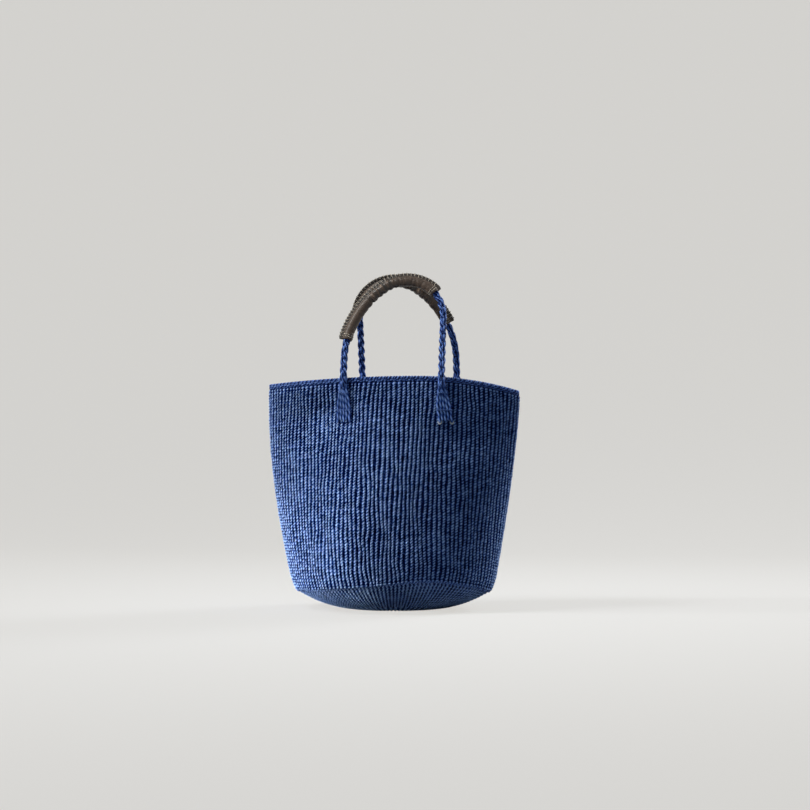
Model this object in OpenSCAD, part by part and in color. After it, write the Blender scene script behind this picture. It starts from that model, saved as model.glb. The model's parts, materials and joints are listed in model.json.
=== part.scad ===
// Hand-woven sisal tote bag with two plaited rope handles in stitched leather grips.
// Millimetres. +Z up, +X to the right of the front, -Y towards the front.
// The origin is on the floor, under the middle of the base.

/* [Body] */
// Width of the mouth from corner to corner
mouth_w = 350; // [335:1:365]
// Depth of the mouth from front to back
mouth_d = 112; // [104:1:120]
// Width of the base along its crease
base_w = 276; // [265:1:290]
// Depth of the base along its crease
base_d = 196; // [185:1:206]
// Height of the rim at its highest point
rim_top = 321; // [305:1:335]
// Drop of the rim from its highest point to its left corner
left_drop = 11; // [4:1:16]
// Drop of the rim from its highest point to its right corner
right_drop = 20; // [4:1:24]
// Height of the base crease at the front and the back
crease_front = 36; // [28:1:42]
// Height of the base crease at the two sides
crease_side = 25; // [18:1:32]
// Thickness of the woven wall
wall_t = 4.5; // [3.5:0.5:5.5]

/* [Rim] */
// Height of the plaited rim
rim_h = 8; // [6:0.5:10]
// Thickness of the plaited rim
rim_t = 6; // [5.5:0.5:7]

/* [Handles] */
// Diameter of the plaited rope
rope_d = 9; // [7:0.5:10]
// Half the distance between a handle's two legs
handle_r = 67; // [63:1:71]
// Length of a handle's shorter leg, from the flexing point at the rim to the arch
short_leg = 28; // [24:1:34]
// Radius of the arch's tight bend, over the longer leg
crown_r = 52; // [48:1:56]
// Lean of each handle towards the other
handle_lean = 19; // [14:1:20]
// Place of the front handle's middle, to the right of the bag's middle
front_handle_x = 5; // [-8:1:8]
// Place of the rear handle's middle, to the right of the bag's middle
rear_handle_x = 16; // [0:1:20]

/* [Grips] */
// Thickness of the leather
leather_t = 2.4; // [1.8:0.1:2.6]
// Height of the stitched seam that stands up along the outside of the grip
seam_h = 5; // [4:0.5:6]
// Length of a grip along the rope
grip_len = 170; // [150:1:176]
// Length of rope from the foot of the shorter leg to the front grip
front_grip_start = 54; // [44:1:64]
// Length of rope from the foot of the shorter leg to the rear grip
rear_grip_start = 82; // [70:1:90]
// Distance from one seam stitch to the next
stitch_pitch = 4.5; // [3.5:0.5:6]
// Diameter of the sewing thread
thread_d = 1; // [0.8:0.1:1.2]

/* [Rope ends] */
// Length of the fan of strands that is sewn to the wall
fan_len = 55; // [45:1:60]
// Width of the fan at its lower end
fan_w = 21; // [16:1:24]
// Thickness of the fan at its lower end
fan_t = 3.6; // [3:0.2:4.4]
// Number of strands in a fan
fan_strands = 5; // [4:1:6]
// Sideways drift of the right-hand fans at their lower end
fan_drift = 4; // [0:1:6]

/* [Hidden] */
$fn = 48;

// Colours, as the bag shows them
sisal = "#3d5a8c";
sisal_dark = "#2f4878";
sisal_light = "#5876aa";
leather = "#4a4038";
thread = "#c9c2b0";

// Shape of the body
ring_n = 72;      // points round the body
wall_rows = 12;   // rows of points up the wall
dish_rows = 4;    // rows of points across the curved part of the base
flare = 1.65;     // how soon the wall reaches the width of the mouth
pinch = 1.1;      // how the depth draws in towards the mouth
lens = 0.6;       // how far the mouth's outline departs from an oval, towards a lens
rim_peak = 0.25;  // place of the rim's highest point, as a share of the half width
dish_flat = 0.4;  // share of the base that lies flat on the floor
mitre = 0.7 * wall_t; // rise of the crease from the outside of the weave to the inside

// Section of the rim
rim_shoulder = 0.3;  // height of its thickest band from each edge, as a share of its height
rim_crown = 0.56;    // thickness of its top edge, as a share of its thickness

// Handles and their flexing points
hinge_gap = 0.6;      // from a rope's foot to the rim
foot_gap = 0.7;       // from a rope's foot to its fan
hinge_drop = 2;       // from the rim's highest point down to the flexing line
hinge_z = rim_top - hinge_drop;
rim_proud = (rim_t - wall_t) / 2;

// Arch of a handle: a wide bend beside the shorter leg runs on into a tight one over the longer leg.
// The two meet where the rope rises 3 for each 4 that it runs across.
meet_cos = 3 / 5;
meet_sin = 4 / 5;
sweep = acos(meet_cos);
sweep_r = (2 * handle_r - crown_r * (1 + meet_cos)) / (1 - meet_cos);
long_leg = short_leg + (sweep_r - crown_r) * meet_sin;
sweep_middle = [sweep_r - handle_r, 0, short_leg];
crown_middle = [handle_r - crown_r, 0, long_leg];
crown_from = short_leg + sweep_r * sweep * PI / 180;
long_leg_from = crown_from + crown_r * (180 - sweep) * PI / 180;
rope_len = long_leg_from + long_leg;
wedge_reach = 1000;   // sides of the wedge that cuts a bend to length, well past the bend

// Grips
fit_gap = 0.1;
grip_d = rope_d + 2 * fit_gap + 2 * leather_t;
seam_t = 1.4 * leather_t; // two edges, pared thin
grip_end_inset = 3;   // from the grip's end to its first ring of stitches
grip_ring_step = 3;   // between the two rings of stitches at an end
ring_opening = 64;    // angle left open for the seam, in degrees
thread_steps = 6;     // points in one turn of the seam thread
thread_sides = 5;
thread_sink = 0.15;   // how far a thread beds into what it crosses

// Fans and their lashings
fan_rows = 8;
fan_sink = 0.3;
lobe_points = 4;      // points across one strand
lobe_depth = 0.45;    // depth of the groove between strands, as a share of the fan's thickness
neck_lobe = 0.6;      // share of that depth at the neck
drift_bend = 1.5;     // how late along the fan the sideways drift comes
neck_w = 10;
neck_inset = 1.5;     // from the flexing line back to the neck's face, to let the rope fold down
neck_share = 0.45;    // share of the fan's length over which the neck flattens out
lashing_d = 1.6;
lashing_places = [0.3, 0.72];
lashing_sides = 6;
lashing_reach = 1.12; // half length of a lashing, as a share of half the fan's width

// Plan of the body at a share s of the wall's height, from the crease to the rim
function half_w(s) = base_w / 2 + (mouth_w - base_w) / 2 * (1 - pow(1 - s, flare));
function half_d(s) = base_d / 2 + (mouth_d - base_d) / 2 * pow(s, pinch);
function plan_x(t, s, inset) = (half_w(s) - inset) * cos(t);
function plan_y(t, s, inset) = (half_d(s) - inset) * sign(sin(t)) * pow(abs(sin(t)), 1 + lens * s);

// Height of the crease at an angle round the base, and of the rim at a share u of the half width
function crease_z(t) = crease_side + (crease_front - crease_side) * pow(sin(t), 2);
function rim_z(u) = u < rim_peak
    ? rim_top - left_drop * pow((rim_peak - u) / (1 + rim_peak), 2)
    : rim_top - right_drop * pow((u - rim_peak) / (1 - rim_peak), 2);
function wall_top_z(u) = rim_z(u) - rim_h;

// Distance of the wall's outer face from the middle plane at x and z, found by repeated substitution
function share_at(x, z, s = 0.8, turns = 4) = turns == 0
    ? s
    : let (u = x / half_w(s), low = crease_z(acos(u)))
        share_at(x, z, min(1, (z - low) / (wall_top_z(u) - low)), turns - 1);
function face_y(x, s) = half_d(s) * pow(1 - pow(x / half_w(s), 2), (1 + lens * s) / 2);
function wall_face(x, z) = face_y(x, share_at(x, z));

function smooth(v) = let (c = min(1, max(0, v))) c * c * (3 - 2 * c);
function mix(a, b, v) = a + (b - a) * v;
function unit(v) = v / norm(v);

// Skin over a list of rings: closed on itself, or with its two ends capped
module skin(rings, closed = false) {
    n = len(rings[0]);
    m = len(rings);
    bands = closed ? m : m - 1;
    sides = [for (i = [0:bands - 1], j = [0:n - 1])
        let (k = (j + 1) % n, low = i * n, high = ((i + 1) % m) * n)
        each [[low + j, high + j, high + k], [low + j, high + k, low + k]]];
    caps = closed ? [] : [[for (j = [0:n - 1]) j], [for (j = [n - 1:-1:0]) (m - 1) * n + j]];
    polyhedron(points = [for (r = rings) each r], faces = concat(sides, caps));
}

// Round tube along points, each with a direction that the tube never runs along
function tube_rings(points, across, d, sides) = [for (i = [0:len(points) - 1])
    let (along = unit(points[min(i + 1, len(points) - 1)] - points[max(i - 1, 0)]),
        n1 = unit(cross(along, across[i])), n2 = cross(along, n1))
    [for (j = [0:sides - 1]) points[i] + d / 2 * (cos(360 * j / sides) * n1 - sin(360 * j / sides) * n2)]];

// Woven base: flat in the middle, curving up to the crease
function dish_share(r) = pow((r - dish_flat) / (1 - dish_flat), 2);
function dish_low(r) = [for (j = [0:ring_n - 1]) let (t = 360 * j / ring_n)
    [r * plan_x(t, 0, 0), r * plan_y(t, 0, 0), crease_z(t) * dish_share(r)]];
function dish_high(r) = [for (j = [0:ring_n - 1]) let (t = 360 * j / ring_n)
    [r * plan_x(t, 0, wall_t), r * plan_y(t, 0, wall_t),
        mix(wall_t, crease_z(t) + mitre, dish_share(r))]];
module woven_base() {
    steps = [for (i = [0:dish_rows]) mix(dish_flat, 1, i / dish_rows)];
    low = [for (r = steps) dish_low(r)];
    high = [for (i = [dish_rows:-1:0]) dish_high(steps[i])];
    color(sisal_dark) skin(concat(low, high));
}

// Woven wall: an oval at the crease that flares and flattens to the lens of the mouth
function wall_ring(s, inset, lift) = [for (j = [0:ring_n - 1])
    let (t = 360 * j / ring_n, low = crease_z(t) + lift)
    [plan_x(t, s, inset), plan_y(t, s, inset), mix(low, wall_top_z(cos(t)), s)]];
module woven_wall() {
    outside = [for (i = [0:wall_rows]) wall_ring(i / wall_rows, 0, 0)];
    inside = [for (i = [wall_rows:-1:0]) wall_ring(i / wall_rows, wall_t, mitre)];
    color(sisal) skin(concat(outside, inside), closed = true);
}

// Plaited rim along the top of the wall, a little thicker than the wall
function rim_ring(out, up) = [for (j = [0:ring_n - 1]) let (t = 360 * j / ring_n)
    [plan_x(t, 1, wall_t / 2 - out), plan_y(t, 1, wall_t / 2 - out), wall_top_z(cos(t)) + up]];
module rim_plait() {
    half = [[wall_t / 2, 0], [rim_t / 2, rim_shoulder * rim_h],
        [rim_t / 2, (1 - rim_shoulder) * rim_h], [rim_crown * rim_t / 2, rim_h]];
    outside = [for (p = half) rim_ring(p[0], p[1])];
    inside = [for (i = [len(half) - 1:-1:0]) rim_ring(-half[i][0], half[i][1])];
    color(sisal_dark) skin(concat(outside, inside), closed = true);
}

// Distance of a handle's flexing line from the middle plane, clear of the rim at both feet
function hinge_y(x) = rim_proud + rope_d / 2 + hinge_gap
    + max(face_y(x - handle_r, 1), face_y(x + handle_r, 1));

// Fan of strands below a handle's foot, v from its neck to its lower end, e from edge to edge
fan_top = hinge_z - rope_d / 2 - foot_gap;
function fan_z(v) = fan_top - fan_len * v;
function fan_x(foot, drift, v, e) = foot + drift * pow(v, drift_bend)
    + e / 2 * mix(neck_w, fan_w, smooth(v));
function fan_thick(foot, hinge, v) =
    mix(hinge - neck_inset - wall_face(foot, fan_top), fan_t, smooth(v / neck_share));
function strand(e) = abs(sin(180 * fan_strands * (e + 1) / 2));
function fan_front(foot, hinge, drift, v, e) = let (x = fan_x(foot, drift, v, e))
    let (groove = lobe_depth * (1 - strand(e)) * mix(neck_lobe, 1, smooth(v)))
    [x, -wall_face(x, fan_z(v)) - fan_thick(foot, hinge, v) * (1 - groove), fan_z(v)];
function fan_back(foot, drift, v, e) = let (x = fan_x(foot, drift, v, e))
    [x, -wall_face(x, fan_z(v)) + fan_sink, fan_z(v)];
module fan(foot, hinge, drift) {
    across = fan_strands * lobe_points;
    behind = fan_strands;
    rings = [for (i = [0:fan_rows]) let (v = i / fan_rows) concat(
        [for (j = [0:across]) fan_front(foot, hinge, drift, v, 2 * j / across - 1)],
        [for (j = [behind:-1:0]) fan_back(foot, drift, v, 2 * j / behind - 1)])];
    color(sisal_light) skin(rings);
}

// Lashing stitches across a fan, with both ends through the wall
module lashing(foot, hinge, drift) {
    steps = 2 * fan_strands;
    color(sisal) for (v = lashing_places) {
        over = [for (j = [0:steps])
            fan_front(foot, hinge, drift, v, 2 * j / steps - 1) - [0, lashing_d / 2 - thread_sink, 0]];
        ends = [for (e = [-lashing_reach, lashing_reach])
            let (p = fan_back(foot, drift, v, e)) [p, p + [0, wall_t / 2, 0]]];
        points = concat([ends[0][1], ends[0][0]], over, [ends[1][0], ends[1][1]]);
        skin(tube_rings(points, [for (p = points) [0, 0, 1]], lashing_d, lashing_sides));
    }
}

// Path of a handle in its own plane, from the foot of the shorter leg: heading, outward side and place
function heading(l) = l < crown_from
    ? max(0, (l - short_leg) / sweep_r * 180 / PI)
    : min(180, sweep + (l - crown_from) / crown_r * 180 / PI);
function outward(l) = [-cos(heading(l)), 0, sin(heading(l))];
function onward(l) = [sin(heading(l)), 0, cos(heading(l))];
function place(l) = l < short_leg ? [-handle_r, 0, l]
    : l < crown_from ? sweep_middle + sweep_r * outward(l)
    : l < long_leg_from ? crown_middle + crown_r * outward(l)
    : [handle_r, 0, rope_len - l];

// A section carried round a bend of the handle, cut off square at two headings
function wedge_side(h) = wedge_reach * [-cos(h), sin(h)];
module bend(middle, r, from, to) {
    translate(middle) rotate([90, 0, 0]) intersection() {
        rotate_extrude() translate([r, 0]) children();
        linear_extrude(2 * grip_d, center = true) polygon([[0, 0], wedge_side(from), wedge_side(to)]);
    }
}

// Plaited rope: two legs with rounded feet on the flexing line, and the arch between them
module rope() {
    color(sisal_light) {
        for (leg = [[-handle_r, short_leg], [handle_r, long_leg]]) translate([leg[0], 0, 0]) {
            cylinder(h = leg[1], d = rope_d);
            sphere(d = rope_d);
        }
        bend(sweep_middle, sweep_r, 0, sweep) circle(d = rope_d);
        bend(crown_middle, crown_r, sweep, 180) circle(d = rope_d);
    }
}

// Leather grip: a hide wrapped round the rope, its two edges standing up together as a seam
module grip_section() {
    difference() {
        union() {
            circle(d = grip_d);
            translate([0, -seam_t / 2]) square([grip_d / 2 + seam_h - seam_t / 2, seam_t]);
            translate([grip_d / 2 + seam_h - seam_t / 2, 0]) circle(d = seam_t);
        }
        circle(d = rope_d + 2 * fit_gap);
    }
}
module grip(start) {
    end = start + grip_len;
    color(leather) {
        bend(sweep_middle, sweep_r, heading(start), sweep) grip_section();
        bend(crown_middle, crown_r, sweep, heading(end)) grip_section();
        if (end > long_leg_from) translate([handle_r, 0, rope_len - end])
            linear_extrude(end - long_leg_from) grip_section();
    }
}

// Seam thread: one thread whipped over the seam from end to end
function whip_point(start, k) = let (l = start + grip_end_inset + stitch_pitch * k / thread_steps,
        a = 360 * k / thread_steps, rise = seam_h / 2 + thread_d / 2 - thread_sink,
        side = seam_t / 2 + thread_d / 2 - thread_sink)
    place(l) + (grip_d / 2 + seam_h / 2 + rise * cos(a)) * outward(l) + [0, side * sin(a), 0];
module seam_thread(start) {
    stitches = floor((grip_len - 2 * grip_end_inset) / stitch_pitch);
    count = stitches * thread_steps;
    points = [for (k = [0:count]) whip_point(start, k)];
    across = [for (k = [0:count]) onward(start + grip_end_inset + stitch_pitch * k / thread_steps)];
    gaps = [for (k = [0:count - thread_steps]) norm(points[k + thread_steps] - points[k]) - thread_d];
    echo("least gap of the seam thread to its next turn", min(gaps));
    color(thread) skin(tube_rings(points, across, thread_d, thread_sides));
}

// Two rings of stitches that close an end of the grip on the rope, open at the seam
module end_stitches(from, step) {
    color(thread) for (l = [from, from + step]) translate(place(l)) rotate([0, heading(l), 0])
        rotate([0, 0, 180 + ring_opening / 2]) rotate_extrude(angle = 360 - ring_opening)
            translate([grip_d / 2 + thread_d / 2 - 2 * thread_sink, 0]) circle(d = thread_d, $fn = 24);
}

// A handle's pieces stand on its flexing line, leaning in over the mouth; the rear one is turned half round
module at_front() { translate([front_handle_x, -front_y, hinge_z]) rotate([-handle_lean, 0, 0]) children(); }
module at_rear() { translate([rear_handle_x, rear_y, hinge_z]) rotate([-handle_lean, 0, 180]) children(); }

front_y = hinge_y(front_handle_x);
rear_y = hinge_y(rear_handle_x);
echo("front flexing line", front_handle_x, -front_y, hinge_z);
echo("rear flexing line", rear_handle_x, rear_y, hinge_z);
echo("rope length of one handle", rope_len + 2 * fan_len);
hang = long_leg + crown_r - grip_d / 2;
echo("underside of the grips at their highest point", front_handle_x + handle_r - crown_r,
    -front_y + hang * sin(handle_lean), rear_handle_x - handle_r + crown_r,
    rear_y - hang * sin(handle_lean), hinge_z + hang * cos(handle_lean));

module front_fan(side, drift) { fan(front_handle_x + side * handle_r, front_y, drift); }
module rear_fan(side, drift) { mirror([0, 1, 0]) fan(rear_handle_x + side * handle_r, rear_y, drift); }
module front_lash(side, drift) { lashing(front_handle_x + side * handle_r, front_y, drift); }
module rear_lash(side, drift) { mirror([0, 1, 0]) lashing(rear_handle_x + side * handle_r, rear_y, drift); }
module near_end(start) { end_stitches(start + grip_end_inset, grip_ring_step); }
module far_end(start) { end_stitches(start + grip_len - grip_end_inset, -grip_ring_step); }

woven_base();
woven_wall();
rim_plait();
front_fan(-1, 0);  // front_left_fan
front_fan(1, fan_drift);  // front_right_fan
rear_fan(-1, 0);  // rear_left_fan
rear_fan(1, fan_drift);  // rear_right_fan
front_lash(-1, 0);  // front_left_lashing
front_lash(1, fan_drift);  // front_right_lashing
rear_lash(-1, 0);  // rear_left_lashing
rear_lash(1, fan_drift);  // rear_right_lashing
at_front() rope();  // front_rope
at_front() grip(front_grip_start);  // front_grip
at_front() seam_thread(front_grip_start);  // front_seam_thread
at_front() near_end(front_grip_start);  // front_left_end_stitches
at_front() far_end(front_grip_start);  // front_right_end_stitches
at_rear() rope();  // rear_rope
at_rear() grip(rear_grip_start);  // rear_grip
at_rear() seam_thread(rear_grip_start);  // rear_seam_thread
at_rear() far_end(rear_grip_start);  // rear_left_end_stitches
at_rear() near_end(rear_grip_start);  // rear_right_end_stitches
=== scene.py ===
import json
import math

import bpy
import numpy as np
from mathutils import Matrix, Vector


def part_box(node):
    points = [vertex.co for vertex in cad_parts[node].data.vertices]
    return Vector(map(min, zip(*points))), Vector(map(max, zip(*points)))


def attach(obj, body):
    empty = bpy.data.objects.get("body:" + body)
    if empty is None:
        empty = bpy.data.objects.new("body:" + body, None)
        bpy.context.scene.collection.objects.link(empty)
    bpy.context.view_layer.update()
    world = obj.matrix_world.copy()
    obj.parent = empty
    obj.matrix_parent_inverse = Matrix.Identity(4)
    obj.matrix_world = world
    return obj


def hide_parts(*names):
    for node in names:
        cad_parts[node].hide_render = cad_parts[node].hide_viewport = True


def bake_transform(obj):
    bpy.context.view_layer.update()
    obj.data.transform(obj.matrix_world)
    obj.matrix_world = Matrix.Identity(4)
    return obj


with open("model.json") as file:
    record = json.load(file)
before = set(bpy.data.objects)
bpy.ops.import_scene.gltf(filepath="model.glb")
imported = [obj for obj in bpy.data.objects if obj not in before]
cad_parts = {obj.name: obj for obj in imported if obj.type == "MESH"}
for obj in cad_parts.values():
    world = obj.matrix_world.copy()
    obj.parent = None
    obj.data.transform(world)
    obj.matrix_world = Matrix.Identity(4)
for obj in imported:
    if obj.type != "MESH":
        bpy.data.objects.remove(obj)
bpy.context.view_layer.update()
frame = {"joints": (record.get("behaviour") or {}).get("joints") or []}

# Woven base
# An oval of twined sisal: cords run out from its middle like spokes, and two yarns are twined round them
# row after row. It lies flat in the middle and curves up to the crease, where the wall starts.
RIBS = 128              # cords that stand side by side round the bag
RIB_STOPS = np.array([0.0, 0.2, 0.5, 0.8])   # places across a rib that carry a column of points
RIB_DEPTH = 0.0027
RIB_ROUND = 0.80        # below 1 makes a rib full, with a narrow valley beside it
STITCH_SWELL = 0.0007
STITCH_BRIDGE = 0.65    # how far a stitch fills the valley where it crosses to the next rib
STITCH_SLANT = np.array([0.0, -0.34, 0.0, 0.34])   # rise of a stitch across its rib, in stitches
MID_STITCH = 0.5        # place of a stitch's middle, in rows
INNER_RELIEF = 0.6      # depth of the weave's relief inside the bag, as a share of that outside
BASE_ROWS = 30
HALF_ROW = 19           # inside this row two cords run as one
QUARTER_ROW = 9         # and inside this one, four
MERGE_ROWS = 2          # rows in which cords run together
SLANT_ROWS = 4          # rows in the base's middle in which the stitches take on their slant
BASE_INNER_STEPS = 14
WALL_T = 0.0045
MITRE = 0.7 * WALL_T    # rise of the crease from the outside of the weave to the inside
DISH_FLAT = 0.4         # share of the base that lies flat
FLARE = 1.65            # how soon the wall reaches the width of the mouth
PINCH = 1.1             # how the depth draws in towards the mouth
LENS = 0.6              # how far the mouth departs from an oval, towards a lens
CORNER_DRAW = 0.003     # how far the wall draws in where it turns into the base
CORNER_SHARE = 0.09     # share of the wall's height over which it does
CREASE_RISE = 0.011     # how far the crease strays up on the front, its place and its half width there
CREASE_RISE_X = 0.070
CREASE_RISE_W = 0.070
END_FADE = 2.0          # how soon what strays on a face has faded in, from the bag's two ends
OUTLINE_STEPS = 1440    # short steps in which an outline's length is measured
WELD = 1e-6             # points closer than this become one
TINY = 1e-12            # keeps a direction without length from a division by zero
_, base_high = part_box("woven_base")
wall_low, wall_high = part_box("woven_wall")
rim_low, rim_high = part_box("rim_plait")
rim_proud = rim_high.x - wall_high.x
mouth_half_d = rim_high.y - rim_proud
crease_side = wall_low.z
crease_front = base_high.z - MITRE
chance = np.random.default_rng(20)


def plan(angle, height, inset=0.0):
    """Outline of the bag seen from above, at a share of the wall's height from the crease to the rim."""
    inset = inset + CORNER_DRAW * np.clip(1 - height / CORNER_SHARE, 0, 1) ** 2
    half_w = base_high.x + (wall_high.x - base_high.x) * (1 - (1 - height) ** FLARE) - inset
    half_d = base_high.y + (mouth_half_d - base_high.y) * height ** PINCH - inset
    bend = np.sin(angle)
    return half_w * np.cos(angle), half_d * np.sign(bend) * np.abs(bend) ** (1 + LENS * height)


def even_angles(height, share):
    """Angles round the bag at which the outline has run the given shares of its length."""
    angle = np.linspace(0, 2 * np.pi, OUTLINE_STEPS + 1)
    x, y = plan(angle, height)
    run = np.concatenate([[0], np.cumsum(np.hypot(np.diff(x), np.diff(y)))])
    return np.interp(share % 1, run / run[-1], angle)


def smooth(value):
    """Eases from 0 to 1 as the value does, and stays at 0 or 1 beyond."""
    value = np.clip(value, 0, 1)
    return value * value * (3 - 2 * value)


def crease_height(angle):
    """Height of the crease: lowest at the bag's two ends, and on the front higher towards the right."""
    stray = np.exp(-((base_high.x * np.cos(angle) - CREASE_RISE_X) / CREASE_RISE_W) ** 2)
    stray = CREASE_RISE * stray * smooth(-END_FADE * np.sin(angle))
    return crease_side + (crease_front - crease_side) * np.sin(angle) ** 2 + stray


def weave_relief(rib, row):
    """Height of the weave over its sheet, at a place counted in ribs and in rows of stitches."""
    ridge = np.abs(np.sin(np.pi * rib)) ** RIB_ROUND
    along = np.cos(2 * np.pi * row)
    valley = RIB_DEPTH * (1 - STITCH_BRIDGE * (1 - along) / 2)
    return valley * (ridge - 1) - STITCH_SWELL * along * ridge


def unit(vectors):
    """Directions of length 1."""
    return vectors / np.maximum(np.linalg.norm(vectors, axis=-1, keepdims=True), TINY)


def outward_normals(sheet):
    """Normals of a sheet of points that runs right round the bag."""
    around = np.roll(sheet, -1, axis=1) - np.roll(sheet, 1, axis=1)
    return unit(np.cross(around, np.gradient(sheet, axis=0)))


def lay_grid(name, points, pattern):
    """Lays a grid through rows of points, with their places in the pattern as UV, and closes what meets."""
    rows, columns = points.shape[0] - 1, points.shape[1] - 1
    bpy.ops.object.select_all(action="DESELECT")
    bpy.ops.mesh.primitive_grid_add(x_subdivisions=columns, y_subdivisions=rows, size=1)
    piece = bpy.context.object
    piece.name = name
    piece.data.name = name
    piece.data.vertices.foreach_set("co", points.astype(np.float32).reshape(-1))
    corners = np.zeros(len(piece.data.loops), np.int32)
    piece.data.loops.foreach_get("vertex_index", corners)
    places = pattern.reshape(-1, 2)[corners].astype(np.float32)
    piece.data.uv_layers.active.data.foreach_set("uv", places.reshape(-1))
    bpy.ops.object.mode_set(mode="EDIT")
    bpy.ops.mesh.select_all(action="SELECT")
    bpy.ops.mesh.remove_doubles(threshold=WELD)
    bpy.ops.object.mode_set(mode="OBJECT")
    bpy.ops.object.shade_smooth()
    return piece


def pattern_grid(across, along):
    """Places in a pattern at every crossing of what runs across it and along it."""
    return np.stack(np.broadcast_arrays(across[None, :], along[:, None]), axis=-1)


def lay_round(name, sheets, rows_of):
    """Lays sheets that run right round the bag, one after the other, as one skin."""
    points = np.concatenate(sheets)
    points = np.concatenate([points, points[:, :1]], axis=1)
    rib = np.append(rib_share, 1.0) * RIBS
    return lay_grid(name, points, pattern_grid(rib, np.concatenate(rows_of)))


def node(material, kind, inputs=None, **settings):
    """Adds a shader node, with its settings, and with values or other nodes' outputs on its inputs."""
    made = material.node_tree.nodes.new("ShaderNode" + kind)
    for name, value in settings.items():
        setattr(made, name, value)
    for name, value in (inputs or {}).items():
        if isinstance(value, bpy.types.NodeSocket):
            material.node_tree.links.new(value, made.inputs[name])
        else:
            made.inputs[name].default_value = value
    return made


def sums(material, operation, *values):
    """Output of a maths node."""
    return node(material, "Math", dict(enumerate(values)), operation=operation).outputs[0]


def layered(material, tone, *layers):
    """A tone with layers added to it, each a value and its weight."""
    for value, weight in layers:
        tone = sums(material, "MULTIPLY_ADD", value, weight, tone)
    return tone


def ripple(material, place):
    """0 at every whole place and 1 halfway between, round like a cord."""
    return sums(material, "ABSOLUTE", sums(material, "SINE", sums(material, "MULTIPLY", place, math.pi)))


def pattern_places(material):
    """A piece's own places: across its pattern as X, and along it as Y."""
    return node(material, "SeparateXYZ", {"Vector": node(material, "UVMap").outputs["UV"]}).outputs


def object_places(material):
    """Places on the bag, in metres."""
    return node(material, "TexCoord").outputs["Object"]


def vector(material, x, y):
    """A place made of two values."""
    return node(material, "CombineXYZ", {"X": x, "Y": y}).outputs[0]


def stretched(material, x, y, marks):
    """Places for a noise that has so many marks to one x and to one y."""
    across = sums(material, "MULTIPLY", x, marks[0])
    return vector(material, across, sums(material, "MULTIPLY", y, marks[1]))


def noise(material, places, scale=1.0, detail=2.0, roughness=0.5):
    """Cloudy values round 0.5."""
    inputs = {"Vector": places, "Scale": scale, "Detail": detail, "Roughness": roughness}
    return node(material, "TexNoise", inputs).outputs["Fac"]


def ramp(material, factor, stops):
    """Colour that runs through the given stops, each a place and a colour."""
    made = node(material, "ValToRGB", {"Fac": factor})
    elements = made.color_ramp.elements
    while len(elements) < len(stops):
        elements.new(1.0)
    for element, (place, colour) in zip(elements, stops):
        element.position = place
        element.color = (*colour, 1.0)
    return made.outputs["Color"]


def new_material(name, **sockets):
    """A material with its shader's constant sockets set."""
    material = bpy.data.materials.new(name)
    material.use_nodes = True
    shader = material.node_tree.nodes["Principled BSDF"]
    for socket, value in sockets.items():
        shader.inputs[socket.replace("_", " ")].default_value = value
    return material


def finish_surface(material, colour, roughness, height, depth):
    """Wires colour, roughness and bump into a material's shader."""
    shader = material.node_tree.nodes["Principled BSDF"]
    bump = node(material, "Bump", {"Height": height, "Strength": 1.0, "Distance": depth})
    material.node_tree.links.new(colour, shader.inputs["Base Color"])
    material.node_tree.links.new(roughness, shader.inputs["Roughness"])
    material.node_tree.links.new(bump.outputs["Normal"], shader.inputs["Normal"])
    return material


# The lowest stops carry the painted shade of the gaps and grooves.
SISAL_STOPS = (
    (0.0, (0.0004, 0.0040, 0.038)),
    (0.30, (0.0036, 0.0215, 0.152)),
    (0.55, (0.041, 0.112, 0.420)),
    (0.80, (0.178, 0.318, 0.730)),
    (1.0, (0.395, 0.575, 0.940)),
)
GAP_EDGE = 0.32         # how far the painted shade of the gap reaches up a rib, and how much farther on the base
BASE_GAP_PAINTED_SHADE = 0.22
FULL_EDGE = 0.93        # from here up, a rib has its full tone
STITCH_END_SHADE = 0.16       # share of its tone that a stitch keeps at its ends, as painted shade between stitches, and how soon it falls to that
STITCH_FALL = 1.2
CROSSING = 0.34         # tone of a stitch that crosses the gap, where the painted shade is lighter, and how slender it is there
CROSSING_FALL = 2.5
GAP_PAINTED_SHADE = -1.24        # where the layers of tone start: the painted shade in the gaps
RIB_TONE = 1.40         # how far the ribs stand out of the painted shade in the gaps, and how much farther on the base, whose paler crests are painted light
BASE_PAINTED_LIGHT = 0.90
STITCH_TONE = 0.50      # how far stitches differ, fibres within them, and larger patches
FIBRE_TONE = 1.40
PATCH_TONE = 0.30
WEAVE_FIBRES = (2.6, 3.0)   # marks of fibre to a rib and to a row
WEAVE_PATCHES = 22.0    # patches to a metre
WEAVE_ROUGH = 0.48
WEAVE_BUMP = 0.0006
FIBRE_ROUGH = 0.25      # how much rougher and higher fibres make the surface
FIBRE_BUMP = 0.5


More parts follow.
